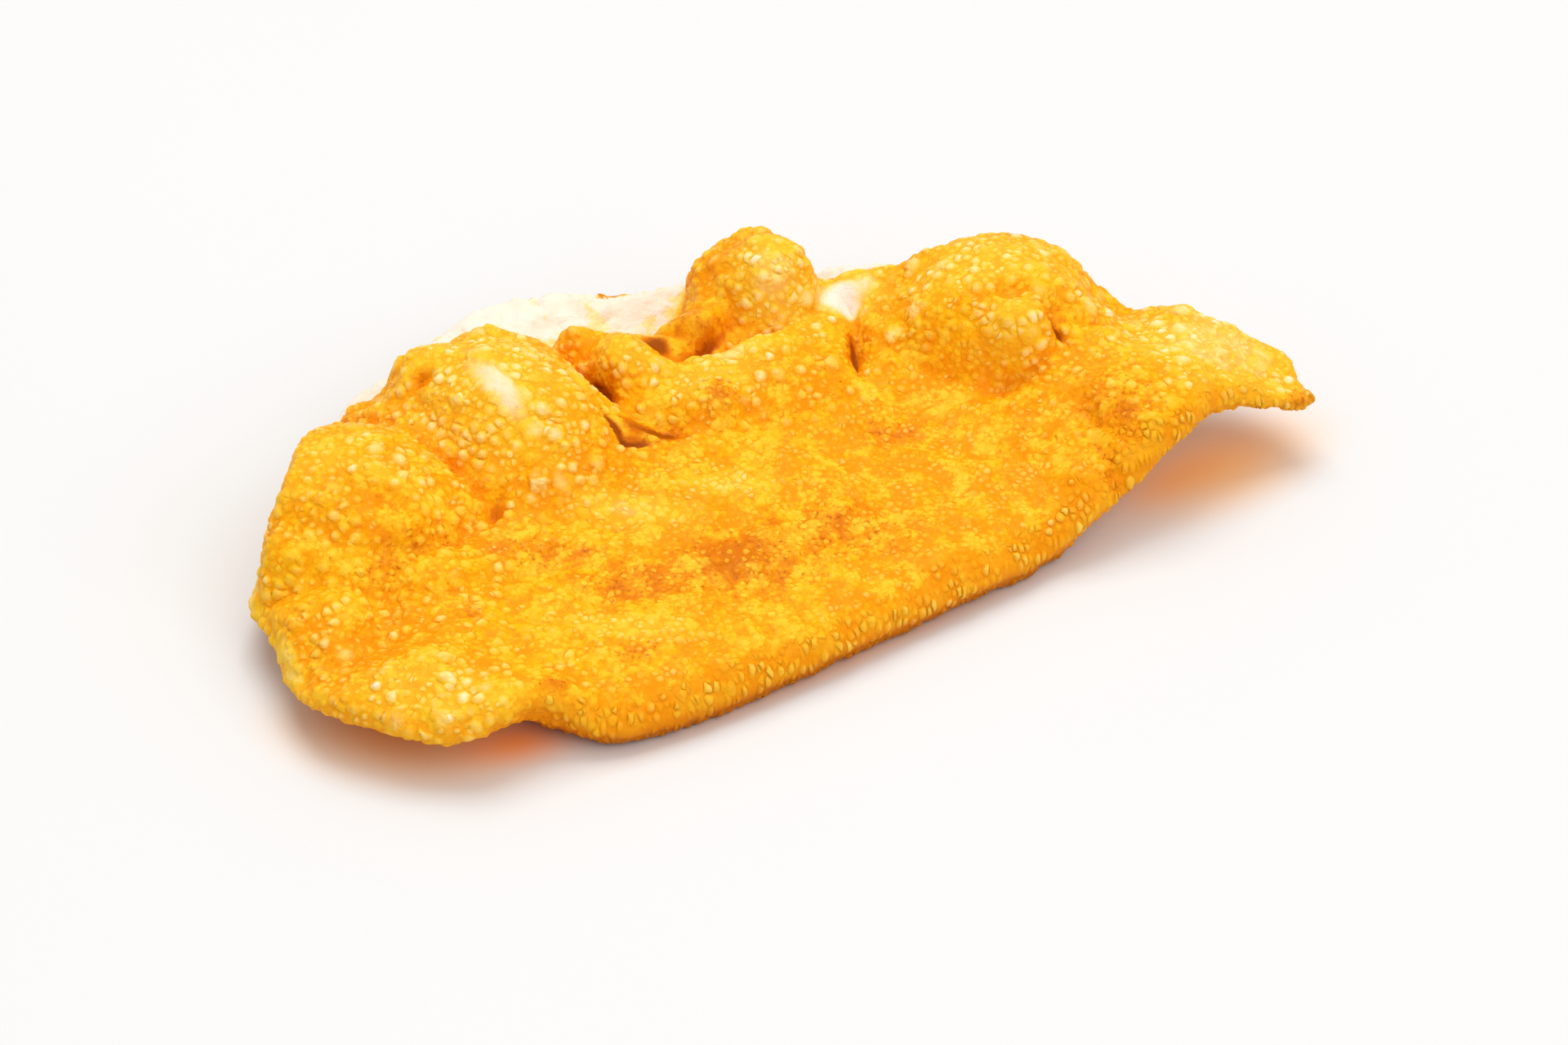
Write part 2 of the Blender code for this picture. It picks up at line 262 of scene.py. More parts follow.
class CrustShape(bpy.types.PropertyGroup):
    """Sizes of the crust's skin."""

    voxel: bpy.props.FloatProperty(
        name="Mesh fineness", description="Side of the cells the skin is first made of",
        default=0.55 * MM, unit="LENGTH",
    )
    triangles: bpy.props.IntProperty(
        name="Triangles", description="Most triangles that the finished skin has", default=196000
    )
    large_spacing: bpy.props.FloatProperty(
        name="Large blisters", description="Distance between large blisters", default=5.6 * MM, unit="LENGTH"
    )
    large_height: bpy.props.FloatProperty(
        name="Large height", description="How far large blisters stand out", default=1.1 * MM, unit="LENGTH"
    )
    medium_spacing: bpy.props.FloatProperty(
        name="Medium blisters", description="Distance between medium blisters",
        default=3.0 * MM, unit="LENGTH",
    )
    medium_height: bpy.props.FloatProperty(
        name="Medium height", description="How far medium blisters stand out",
        default=0.85 * MM, unit="LENGTH",
    )
    small_spacing: bpy.props.FloatProperty(
        name="Small blisters", description="Distance between small blisters", default=1.7 * MM, unit="LENGTH"
    )
    small_height: bpy.props.FloatProperty(
        name="Small height", description="How far small blisters stand out", default=0.42 * MM, unit="LENGTH"
    )
    fold_spacing: bpy.props.FloatProperty(
        name="Fold blisters", description="Distance between the tall narrow blisters of the fold",
        default=1.8 * MM, unit="LENGTH",
    )
    fold_height: bpy.props.FloatProperty(
        name="Fold height", description="How far the fold's blisters stand out",
        default=0.7 * MM, unit="LENGTH",
    )
    rim_crinkle: bpy.props.FloatProperty(
        name="Rim crinkle", description="How far the sealed rim is crinkled", default=1.0 * MM, unit="LENGTH"
    )
    seed: bpy.props.IntProperty(name="Seed", description="Another number gives other blisters", default=4)


class CrustColours(bpy.types.PropertyGroup):
    """Colours of the fried dough, in linear values."""

    golden: bpy.props.FloatVectorProperty(
        name="Golden", description="Most of the crust",
        subtype="COLOR", size=4, default=(1.0, 0.48, 0.003, 1),
    )
    orange: bpy.props.FloatVectorProperty(
        name="Orange", description="Longer fried stretches",
        subtype="COLOR", size=4, default=(0.97, 0.33, 0.002, 1),
    )
    # Light is also painted light where the crust bulges, and partly a painted highlight on the blisters'
    # tops.
    light: bpy.props.FloatVectorProperty(
        name="Light", description="Paler fried stretches",
        subtype="COLOR", size=4, default=(1.0, 0.60, 0.03, 1),
    )
    # Cream on the blisters' tops is partly a painted highlight.
    cream: bpy.props.FloatVectorProperty(
        name="Cream", description="Tops of the blisters",
        subtype="COLOR", size=4, default=(1.0, 0.80, 0.36, 1),
    )
    # The valley colour is partly painted shade between the blisters, and painted shade in the hollows.
    valley: bpy.props.FloatVectorProperty(
        name="Valley", description="Between the blisters",
        subtype="COLOR", size=4, default=(0.90, 0.28, 0.001, 1),
    )
    # Brown is also painted shade in deep hollows, pits, creases and at the fold's foot.
    brown: bpy.props.FloatVectorProperty(
        name="Brown", description="Browned patches",
        subtype="COLOR", size=4, default=(0.68, 0.17, 0.001, 1),
    )
    # Dark is partly painted shade in the pits, slits and at the fold's foot; in the freckles it is the
    # dough's own.
    dark: bpy.props.FloatVectorProperty(
        name="Dark", description="Pits and slits",
        subtype="COLOR", size=4, default=(0.34, 0.065, 0.001, 1),
    )
    # Pale is also painted glints on some blisters' crowns.
    pale: bpy.props.FloatVectorProperty(
        name="Pale", description="The sealed rim's dough",
        subtype="COLOR", size=4, default=(0.95, 0.83, 0.74, 1),
    )


class StageLook(bpy.types.PropertyGroup):
    """The camera, the lights and the floor."""

    azimuth: bpy.props.FloatProperty(
        name="Camera azimuth", description="Turn of the camera round the cheburek",
        default=math.radians(-33), subtype="ANGLE",
    )
    elevation: bpy.props.FloatProperty(
        name="Camera elevation", description="Height of the camera as an angle",
        default=math.radians(37), subtype="ANGLE",
    )
    distance: bpy.props.FloatProperty(
        name="Camera distance", description="From the camera to what it looks at",
        default=0.9423, unit="LENGTH",
    )
    lens: bpy.props.FloatProperty(name="Lens", description="Focal length in millimetres", default=100)
    target: bpy.props.FloatVectorProperty(
        name="Camera target", description="What the camera looks at", default=(-0.0071, -0.0345, 0.015),
        subtype="TRANSLATION",
    )
    key_power: bpy.props.FloatProperty(
        name="Key light", description="Soft light from above and behind", default=27, subtype="POWER"
    )
    fill_power: bpy.props.FloatProperty(
        name="Fill light", description="Wide light from the front", default=24, subtype="POWER"
    )
    sky: bpy.props.FloatProperty(name="Sky", description="Strength of the light from all round", default=0.58)
    floor_colour: bpy.props.FloatVectorProperty(
        name="Floor", description="Colour of the floor",
        subtype="COLOR", size=4, default=(0.79, 0.79, 0.79, 1),
    )
    # The glow colours are painted into the floor: warm shade and bounce light that no lamp gives.
    glow: bpy.props.FloatVectorProperty(
        name="Glow", description="Colour of the floor's warm shade",
        subtype="COLOR", size=4, default=(1.0, 0.55, 0.17, 1),
    )
    deep_glow: bpy.props.FloatVectorProperty(
        name="Deep glow", description="Colour of that shade where it is deepest",
        subtype="COLOR", size=4, default=(1.0, 0.34, 0.02, 1),
    )


class Wiring:
    """Adds nodes to a tree. An input is a value, or another node's socket that it is joined to."""

    def __init__(self, tree):
        self.tree = tree

    def add(self, kind, inputs=None, output=0, **settings):
        node = self.tree.nodes.new(kind)
        for name, value in settings.items():
            setattr(node, name, value)
        for key, value in (inputs or {}).items():
            socket = node.inputs[key]
            if isinstance(value, bpy.types.NodeSocket):
                self.tree.links.new(value, socket)
            elif socket.type == "VECTOR" and isinstance(value, (int, float)):
                socket.default_value = (value,) * 3
            else:
                socket.default_value = value
        return node.outputs[output]

    def math(self, operation, *values):
        return self.add("ShaderNodeMath", dict(enumerate(values)), operation=operation)

    def vector(self, operation, *values):
        return self.add("ShaderNodeVectorMath", dict(enumerate(values)), operation=operation)

    def step(self, value, low, high, to_low=0.0, to_high=1.0):
        """A smooth step: to_low where the value is below low, to_high above high."""
        inputs = {"Value": value, "From Min": low, "From Max": high, "To Min": to_low, "To Max": to_high}
        return self.add("ShaderNodeMapRange", inputs, interpolation_type="SMOOTHSTEP")

    def mix(self, share, first, second):
        inputs = {0: share, 6: first, 7: second}
        return self.add("ShaderNodeMix", inputs, output=2, data_type="RGBA", clamp_factor=True)

    def noise(self, place, scale, detail=2.0, roughness=0.5):
        inputs = {"Vector": place, "Scale": scale, "Detail": detail, "Roughness": roughness}
        return self.add("ShaderNodeTexNoise", inputs)

    def total(self, *values):
        result = values[0]
        for value in values[1:]:
            result = self.math("ADD", result, value)
        return result

    def product(self, *values):
        result = values[0]
        for value in values[1:]:
            result = self.math("MULTIPLY", result, value)
        return result

    def uneven(self, value, noise, amount):
        """The value, pushed up and down by noise."""
        return self.total(value, self.product(self.math("SUBTRACT", noise, 0.5), amount))


# The skin's base mesh and the zones on it


def relaxed(values, edges, rounds):
    """Values at the points, each moved halfway to the mean of its neighbours that many times."""
    count = len(values)
    ends = np.concatenate([edges[:, 0], edges[:, 1]])
    others = np.concatenate([edges[:, 1], edges[:, 0]])
    share = 1 / np.maximum(np.bincount(ends, minlength=count), 1)
    for _ in range(rounds):
        columns = [np.bincount(ends, weights=column[others], minlength=count) * share for column in values.T]
        values = (values + np.column_stack(columns)) / 2
    return values


def plan_edge(points):
    """The outline seen from above: the farthest point in each direction from the middle."""
    away = points[:, :2] - np.array(PLAN_CENTRE) * MM
    reach = np.hypot(*away.T)
    slot = ((np.arctan2(away[:, 1], away[:, 0]) / math.tau + 0.5) * EDGE_POINTS).astype(int) % EDGE_POINTS
    order = np.lexsort((reach, slot))
    last = np.append(np.flatnonzero(np.diff(slot[order])), len(order) - 1)
    return points[order[last], :2]


def nearest_edge(points, edge):
    """Plan distance of each point to the outline, and the outline point nearest to it."""
    gaps, nearest = [], []
    for start in range(0, len(points), EDGE_CHUNK):
        away = points[start : start + EDGE_CHUNK, None, :2] - edge[None]
        squares = (away**2).sum(axis=2)
        which = squares.argmin(axis=1)
        gaps.append(np.sqrt(squares[np.arange(len(which)), which]))
        nearest.append(edge[which])
    return np.concatenate(gaps), np.concatenate(nearest)


def zones(points, normals):
    """How much each point belongs to the fold, the sealed rim, the underside and the puffed lobes."""
    gap, nearest = nearest_edge(points, plan_edge(points))
    gap, nearest = gap / MM, nearest / MM
    x, y = points[:, 0] / MM, points[:, 1] / MM
    up = normals[:, 2]
    front = (1 - ease(nearest[:, 1], *FOLD_Y)) * ease(nearest[:, 0], *FOLD_LEFT)
    fold = front * (1 - ease(gap, *FOLD_DEPTH)) * (1 - ease(up, *FOLD_SLOPE))
    added = sum(
        width * np.exp(-(((x - middle) / length) ** WIDE_RIM_POWER)) for middle, length, width in WIDE_RIMS
    )
    rim = 1 - ease(gap, RIM_DEPTH[0] + RIM_FADE_FROM * added, RIM_DEPTH[1] + added)
    rim *= ease(nearest[:, 1], *RIM_FRONT)
    rim *= 1 - RIM_FADE * ease(x, *WING_X)
    rim *= LEFT_RIM + (1 - LEFT_RIM) * ease(x, *LEFT_X)
    rim *= RIM_WALL + (1 - RIM_WALL) * ease(up, *WALL_SLOPE)
    x_low, x_in, x_out, x_high = PLATEAU_X
    plateau = ease(x, x_low, x_in) * (1 - ease(x, x_out, x_high)) * (1 - ease(y, *PLATEAU_Y))
    return {"fold": fold, "rim": rim, "under": 1 - ease(up, *UNDER_SLOPE), "puff": 1 - plateau}


def add_marks(points, normals):
    """Raises and dents the top of the crust at the marks, and says how brown, pale and smooth it is."""
    tints = {"brown": np.zeros(len(points)), "pale": np.zeros(len(points)), "smooth": np.zeros(len(points))}
    top = ease(normals[:, 2], *TOP_SLOPE)
    rise = np.zeros(len(points))
    for x, y, half_length, half_width, turn, height, brown, pale, smooth in MARKS.values():
        turn = math.radians(turn)
        across = points[:, :2] / MM - (x, y)
        u = (across[:, 0] * math.cos(turn) + across[:, 1] * math.sin(turn)) / half_length
        v = (across[:, 1] * math.cos(turn) - across[:, 0] * math.sin(turn)) / half_width
        weight = np.exp(-((u * u + v * v) ** MARK_POWER)) * top
        rise += height * MM * weight
        for tint, amount in zip(tints.values(), (brown, pale, smooth)):
            tint += amount * weight
    return points + np.column_stack([np.zeros((len(points), 2)), rise]), tints


def read(mesh_part, field, width, kind=np.float32):
    """One field of all points or edges, as an array with that many columns."""
    values = np.empty(len(mesh_part) * width, kind)
    mesh_part.foreach_get(field, values)
    return values.reshape(-1, width)


def evaluated_mesh(piece, name):
    """The piece's mesh with its modifiers applied."""
    graph = bpy.context.evaluated_depsgraph_get()
    mesh = bpy.data.meshes.new_from_object(piece.evaluated_get(graph))
    mesh.name = name
    return mesh


def base_skin(shape):
    """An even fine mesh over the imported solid, with the marks pressed in and the zones on its points."""
    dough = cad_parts[NODE].data.copy()
    welded = bmesh.new()
    welded.from_mesh(dough)
    bmesh.ops.remove_doubles(welded, verts=welded.verts, dist=WELD)
    welded.to_mesh(dough)
    welded.free()
    dough.materials.clear()
    piece = bpy.data.objects.new("crust_skin", dough)
    bpy.context.scene.collection.objects.link(piece)
    rounder = piece.modifiers.new("rounder", "SUBSURF")
    rounder.levels = rounder.render_levels = 1
    even = piece.modifiers.new("even", "REMESH")
    even.mode = "VOXEL"
    even.voxel_size = shape.voxel
    soft = piece.modifiers.new("soft", "SMOOTH")
    soft.iterations = SOFT_ROUNDS
    mesh = evaluated_mesh(piece, "crust_skin")
    piece.modifiers.clear()
    piece.data = mesh
    bpy.data.meshes.remove(dough)

    points = read(mesh.vertices, "co", 3).astype(float)
    normals = read(mesh.vertices, "normal", 3).astype(float)
    edges = read(mesh.edges, "vertices", 2, np.int32)
    fields = zones(points, normals)
    points, tints = add_marks(points, normals)
    mesh.vertices.foreach_set("co", points.astype(np.float32).ravel())
    sunk = ((relaxed(points, edges, HOLLOW_ROUNDS) - points) * normals).sum(axis=1) / MM
    fields["hollow"] = np.clip(sunk / HOLLOW_DEPTH, -1, 1)
    for name, values in {**fields, **tints}.items():
        mesh.attributes.new(name, "FLOAT", "POINT").data.foreach_set("value", values.astype(np.float32))
    mesh.update()
    return piece


# Blisters. The same nodes raise them in Geometry Nodes and colour them in the material.


def blister_layer(w, place, spacing, seed, number, share, radii=BLISTER_RADII):
    """Round blisters in a share of random places, each with its own size. Gives their height from 0 to 1."""
    shift = w.math("MULTIPLY_ADD", seed, SEED_SHIFT, LAYER_SHIFT * number)
    cells = w.vector("ADD", w.vector("DIVIDE", place, spacing), shift)
    packing = {"Vector": cells, "Scale": 1.0, "Randomness": PACKING}
    near = w.add("ShaderNodeTexVoronoi", packing, feature="F1")
    edge = w.add("ShaderNodeTexVoronoi", packing, feature="DISTANCE_TO_EDGE")
    chance = w.add("ShaderNodeSeparateXYZ", {0: near.node.outputs["Color"]}).node
    radius = {"Value": chance.outputs[0], "To Min": radii[0], "To Max": radii[1]}
    gap = w.math("DIVIDE", near, w.add("ShaderNodeMapRange", radius))
    bulge = w.math("SUBTRACT", 1.0, w.math("MULTIPLY", gap, gap))
    bulge = w.math("POWER", w.math("MAXIMUM", bulge, 0.0), ROUNDNESS)
    grown = w.add("ShaderNodeMapRange", {"Value": chance.outputs[1], "To Min": LEAST_GROWN, "To Max": 1.0})
    there = w.math("GREATER_THAN", chance.outputs[2], 1 - share)
    return w.product(bulge, w.step(edge, 0.0, SEAM), grown, there)


def blisters(w, place, field, size):
    """How far blisters raise the crust at a place, and how near to a blister's top it is (0 to 1)."""
    drift = w.noise(place, DRIFT_SCALE, 1.0).node.outputs["Color"]
    drift = w.vector("MULTIPLY", w.vector("SUBTRACT", drift, 0.5), DRIFT)
    drifted = w.vector("ADD", place, drift)
    puff, fold, rim = field("puff"), field("fold"), field("rim")
    rough = w.math("MAXIMUM", w.math("SUBTRACT", 1.0, field("smooth")), 0.0)
    crowd = w.step(w.noise(place, CROWD_SCALE), 0.35, 0.62, 0.25, 1.0)
    large = blister_layer(w, drifted, size["Large spacing"], size["Seed"], 1, LARGE_SHARE)
    medium = blister_layer(w, drifted, size["Medium spacing"], size["Seed"], 2, MEDIUM_SHARE)
    small = blister_layer(w, drifted, size["Small spacing"], size["Seed"], 3, SMALL_SHARE)
    upright = w.vector("MULTIPLY", drifted, (1.0, 1.0, FOLD_STRETCH))
    upright = blister_layer(w, upright, size["Fold spacing"], size["Seed"], 4, FOLD_SHARE, FOLD_RADII)
    upright = w.product(upright, fold)
    flat_part = w.product(w.step(fold, 1.0, 0.0, 0.1, 1.0), w.step(rim, 1.0, 0.0, 0.3, 1.0), rough)
    large = w.product(large, puff, crowd, flat_part)
    beside = w.step(large, 0.6, 0.0, 0.2, 1.0)
    medium = w.product(medium, beside, w.step(puff, 0.0, 1.0, 0.45, 1.0), flat_part)
    small = w.product(small, w.step(medium, 0.6, 0.0, 0.3, 1.0), flat_part)
    height = w.total(
        w.product(large, size["Large height"]),
        w.product(medium, size["Medium height"]),
        w.product(small, size["Small height"]),
        w.product(upright, size["Fold height"]),
    )
    top = w.math("MAXIMUM", w.math("MAXIMUM", large, medium), w.product(small, 0.75))
    top = w.math("MAXIMUM", top, w.product(upright, 0.7))
    return height, top


def socket_name(size):
    """A size's name as an input: large_spacing is Large spacing."""
    return size.replace("_", " ").capitalize()


def blistered_skin():
    """The tree that raises blisters on a mesh that has the crust's zones stored on it."""
    tree = bpy.data.node_groups.new("blistered_skin", "GeometryNodeTree")
    sockets = (
        ("Skin", "NodeSocketGeometry"),
        *((socket_name(size), "NodeSocketFloat") for size in BLISTER_SIZES),
        ("Seed", "NodeSocketInt"),
        ("Material", "NodeSocketMaterial"),
    )
    for name, kind in sockets:
        tree.interface.new_socket(name, in_out="INPUT", socket_type=kind)
    tree.interface.new_socket("Skin", in_out="OUTPUT", socket_type="NodeSocketGeometry")
    w = Wiring(tree)
    given = w.add("NodeGroupInput").node.outputs
    place = w.add("GeometryNodeInputPosition")
    normal = w.add("GeometryNodeInputNormal")

    def field(name):
        return w.add("GeometryNodeInputNamedAttribute", {"Name": name}, data_type="FLOAT")

    height, _ = blisters(w, place, field, given)
    height = w.math("SUBTRACT", height, w.product(field("under"), UNDER_SINK))

    crinkle = w.noise(place, CRINKLE_SCALE).node.outputs["Color"]
    crinkle = w.vector("SUBTRACT", crinkle, 0.5)
    amount = w.product(field("rim"), given["Rim crinkle"], CRINKLE_GAIN)
    moved = w.vector("ADD", w.vector("MULTIPLY", normal, height), w.vector("MULTIPLY", crinkle, amount))
    inputs = {"Geometry": given["Skin"], "Name": "rest", "Value": place}
    skin = w.add("GeometryNodeStoreNamedAttribute", inputs, data_type="FLOAT_VECTOR", domain="POINT")
    skin = w.add("GeometryNodeSetPosition", {"Geometry": skin, "Offset": moved})
    seated = w.vector("MAXIMUM", place, (-1.0, -1.0, 0.0))
    skin = w.add("GeometryNodeSetPosition", {"Geometry": skin, "Position": seated})
    skin = w.add("GeometryNodeRealizeInstances", {"Geometry": skin})
    skin = w.add("GeometryNodeSetMaterial", {"Geometry": skin, "Material": given["Material"]})
    tree.links.new(skin, tree.nodes.new("NodeGroupOutput").inputs[0])
    return tree


def set_inputs(modifier, values):
    """Sets a Geometry Nodes modifier's inputs, given by name, through their sockets' identifiers."""
    for item in modifier.node_group.interface.items_tree:
        if item.in_out == "INPUT" and item.name in values:
            modifier[item.identifier] = values[item.name]


# Materials


def crust_fields(w, size):
    """What the crust's colours are mixed by: its blisters, its zones and four grades of mottle."""
    place = w.add("ShaderNodeAttribute", {}, attribute_name="rest").node.outputs["Vector"]

    def field(name):
        return w.add("ShaderNodeAttribute", {}, attribute_name=name).node.outputs["Fac"]

    height, top = blisters(w, place, field, size)
    zone_names = ("brown", "pale", "rim", "hollow", "under", "fold", "puff")
    on = SimpleNamespace(place=place, height=height, **{name: field(name) for name in zone_names})
    on.crest = w.product(top, w.step(on.puff, 0.0, 1.0, 1.35, 1.0), w.step(on.fold, 0.0, 1.0, 1.0, 0.9))
    on.patches = w.noise(place, PATCH_SCALE, 2.0, 0.5)
    on.blotches = w.noise(place, BLOTCH_SCALE, 3.0, 0.6)
    on.mottle = w.noise(place, MOTTLE_SCALE, 3.0, 0.6)
    on.grain = w.noise(place, GRAIN_SCALE, 2.0, 0.6)
    return on


def fried_tone(w, on, colours):
    """Golden to orange dough, lighter in blotches and where it is pale, redder at the fold, and redder in
    hollows as painted shade.
    """
    tone = w.total(
        w.product(on.patches, 0.22),
        w.product(on.blotches, 0.25),
        w.product(on.mottle, 0.28),
        w.product(on.grain, 0.25),
    )
    colour = w.mix(w.step(tone, 0.45, 0.55), colours.golden[:], colours.orange[:])
    lighter = w.uneven(w.uneven(on.blotches, on.mottle, 0.5), on.grain, 0.4)
    lighter = w.product(w.step(lighter, 0.49, 0.35), 0.65)
    paler = w.step(w.uneven(on.pale, on.mottle, 0.9), 0.0, 0.5)
    paler = w.product(paler, w.step(on.pale, 0.0, 0.15), 0.85)
    colour = w.mix(w.math("MAXIMUM", lighter, paler), colour, colours.light[:])
    # Painted shade: the valley colour in the hollows.
    colour = w.mix(w.product(w.step(on.hollow, 0.1, 0.9), 0.6), colour, colours.valley[:])
    return w.mix(w.product(on.fold, 0.5), colour, colours.orange[:])


def blister_tone(w, on, colours, colour):
    """Orange valleys between the blisters, partly painted shade; light to cream tops on them, partly painted
    highlight; painted glints on some crowns, painted light where the crust bulges, and the smooth pale
    places, some of them painted highlights.
    """
    crest = w.uneven(on.crest, on.grain, 0.3)
    # Partly painted shade: orange in the valleys between the blisters.
    valley = w.product(w.step(crest, 0.28, 0.0), w.step(on.mottle, 0.3, 0.6, 0.3, 1.0), 0.55)
    colour = w.mix(w.product(valley, w.step(on.fold, 0.0, 1.0, 1.0, 1.3)), colour, colours.valley[:])
    creamy = w.step(w.uneven(on.pale, on.mottle, 0.8), -0.05, 0.42, 0.1, 1.0)
    # Partly painted highlight: light to cream on the blisters' tops.
    tops = w.product(w.step(crest, 0.25, 0.8), w.step(on.mottle, 0.35, 0.6, 0.5, 1.0), 0.9)
    tops = w.product(tops, w.step(w.math("MAXIMUM", on.puff, on.fold), 0.0, 1.0, 0.55, 1.0))
    colour = w.mix(tops, colour, w.mix(creamy, colours.light[:], colours.cream[:]))
    # Painted highlight: pale glints on some blisters' crowns.
    painted_glints = w.product(w.step(on.crest, 0.65, 1.0), w.step(on.mottle, 0.46, 0.58))
    colour = w.mix(w.product(painted_glints, creamy, on.puff, 0.7), colour, colours.pale[:])
    # Painted light: lighter where the crust bulges out.
    colour = w.mix(w.product(w.step(on.hollow, -0.15, -0.9), 0.35), colour, colours.light[:])
    # The marks' pale, partly a painted highlight on the domes' tops, turns cream and then pale.
    pale = w.uneven(on.pale, on.mottle, 0.5)
    colour = w.mix(w.step(pale, 0.5, 0.9, 0.0, 0.7), colour, colours.cream[:])
    return w.mix(w.step(pale, 0.7, 1.15, 0.0, 0.9), colour, colours.pale[:])


def browned(w, on, colours, colour):
    """Browned patches that spare the blisters' tops, painted shade in the creases and deep hollows, and dark
    pits that are partly painted shade. Also gives how browned and shaded each place is.
    """
    # The marks' brown: browning, and painted shade in the pits, slits and creases.
    browning_and_crease_shade = w.uneven(w.uneven(w.uneven(on.brown, on.blotches, 0.9), on.mottle, 0.9), on.grain, 0.6)
    browning_and_crease_shade = w.product(w.step(browning_and_crease_shade, 0.1, 0.85), w.step(on.brown, 0.0, 0.12))
    browning_and_crease_shade = w.product(browning_and_crease_shade, w.step(on.crest, 0.7, 0.25, 0.2, 1.0), 0.95)
    colour = w.mix(browning_and_crease_shade, colour, colours.brown[:])
    # Painted shade: brown in deep hollows away from the rim.
    deep = w.product(w.step(on.hollow, 0.75, 1.3), w.step(on.rim, 0.5, 0.0), 0.7)
    colour = w.mix(deep, colour, colours.brown[:])
    # Dark where the marks are brownest: dark spots, and painted shade in the pits and slits.
    burnt_and_pit_shade = w.step(w.uneven(on.brown, on.grain, 0.4), 0.7, 1.2, 0.0, 0.95)
    return w.mix(burnt_and_pit_shade, colour, colours.dark[:]), browning_and_crease_shade


def sealed_rim(w, on, colours, colour, browning_and_crease_shade):
    """Light, then cream, then pale dough towards the sealed rim's edge, where it has no browning and no
    painted crease shade.
    """
    sealed = w.uneven(w.uneven(on.rim, on.patches, 0.9), on.mottle, 0.6)
    sealed = w.product(sealed, w.step(on.blotches, 0.5, 0.62, 1.0, 0.6))
    bare = w.product(w.step(on.rim, 0.0, 0.1), w.step(browning_and_crease_shade, 0.6, 0.0))
    for low, high, share, tint in (
        (0.0, 0.3, 0.9, colours.light),
        (0.2, 0.6, 0.85, colours.cream),
        (0.45, 0.9, 0.88, colours.pale),
    ):
        colour = w.mix(w.product(w.step(sealed, low, high), bare, share), colour, tint[:])
    return colour


def foot_shade_and_freckles(w, on, colours, colour):
    """A painted contact shade, brown to dark, along the fold's foot, a more orange underside and small dark
    freckles.
    """
    high = w.add("ShaderNodeSeparateXYZ", {0: on.place}).node.outputs[2]
    # Painted contact shade: brown, then dark, low on the fold.
    colour = w.mix(w.product(on.fold, w.step(high, *FOOT_SHADE_BROWN), 0.8), colour, colours.brown[:])
    colour = w.mix(w.product(on.fold, w.step(high, *FOOT_SHADE_DARK), 0.75), colour, colours.dark[:])
    colour = w.mix(w.product(on.under, 0.3), colour, colours.orange[:])
    freckles = w.product(w.step(on.grain, 0.58, 0.72), w.step(on.rim, 0.3, 0.0))
    freckles = w.product(freckles, w.step(on.brown, 0.0, 0.35, 0.1, 0.5))
    return w.mix(freckles, colour, colours.dark[:])


def golden_crust(colours, size):
    """Fried dough: golden with cream blisters, browned where it is marked, and pale at the sealed rim. It has
    painted shade in hollows, creases and at the fold's foot, and painted highlights on blisters and domes.
    """
    material = bpy.data.materials.new("golden_crust")
    material.use_nodes = True
    tree = material.node_tree
    w = Wiring(tree)
    shader = tree.nodes["Principled BSDF"]
    on = crust_fields(w, size)
    colour = fried_tone(w, on, colours)
    colour = blister_tone(w, on, colours, colour)
    colour, browning_and_crease_shade = browned(w, on, colours, colour)
    colour = sealed_rim(w, on, colours, colour, browning_and_crease_shade)
    colour = foot_shade_and_freckles(w, on, colours, colour)
    tree.links.new(colour, shader.inputs["Base Color"])

    tree.links.new(w.step(on.mottle, 0.3, 0.7, 0.34, 0.56), shader.inputs["Roughness"])
    shader.inputs["Specular IOR Level"].default_value = 0.05
    shader.inputs["Coat Weight"].default_value = 0.03
    shader.inputs["Coat Roughness"].default_value = 0.25

    raised = w.product(on.height, BLISTER_BUMP / MM, w.step(on.fold, 0.0, 1.0, 0.75, 1.5))
    relief = w.total(raised, w.product(on.grain, 0.25), w.product(on.mottle, 0.3))
    bump = w.add("ShaderNodeBump", {"Height": relief, "Distance": MM, "Strength": 1.0})
    tree.links.new(bump, shader.inputs["Normal"])
    return material


def pale_floor(colour, glow, deep_glow):
    """A matt pale table top, with a painted warm shade and bounce light from the crust under its lifted
    corners, and a painted contact shade along the fold.
    """
    material = bpy.data.materials.new("pale_floor")
    material.use_nodes = True
    w = Wiring(material.node_tree)
    shader = material.node_tree.nodes["Principled BSDF"]
    place = w.add("ShaderNodeTexCoord").node.outputs["Object"]
    darker = [channel * FLOOR_DARKER for channel in colour[:3]] + [1]
    tint = w.mix(w.noise(place, FLOOR_CLOUDS), colour[:], darker)
    # Each glow paints warm shade into the floor's colour.
    for x, y, half_length, half_width, turn, amount, depth in PAINTED_GLOWS.values():
        inputs = {
            "Vector": place,
            "Location": (x * MM, y * MM, 0),
            "Rotation": (0, 0, math.radians(turn)),
            "Scale": (half_length * MM, half_width * MM, 1),
        }
        inside = w.add("ShaderNodeMapping", inputs, vector_type="TEXTURE")
        away = w.vector("LENGTH", inside).node.outputs["Value"]
        warm = [*Vector(glow[:3]).lerp(Vector(deep_glow[:3]), depth), 1]
        tint = w.mix(w.step(away, 1.0, 0.0, 0.0, amount), tint, warm)
    material.node_tree.links.new(tint, shader.inputs["Base Color"])
    shader.inputs["Roughness"].default_value = 0.55
    return material


# Operators


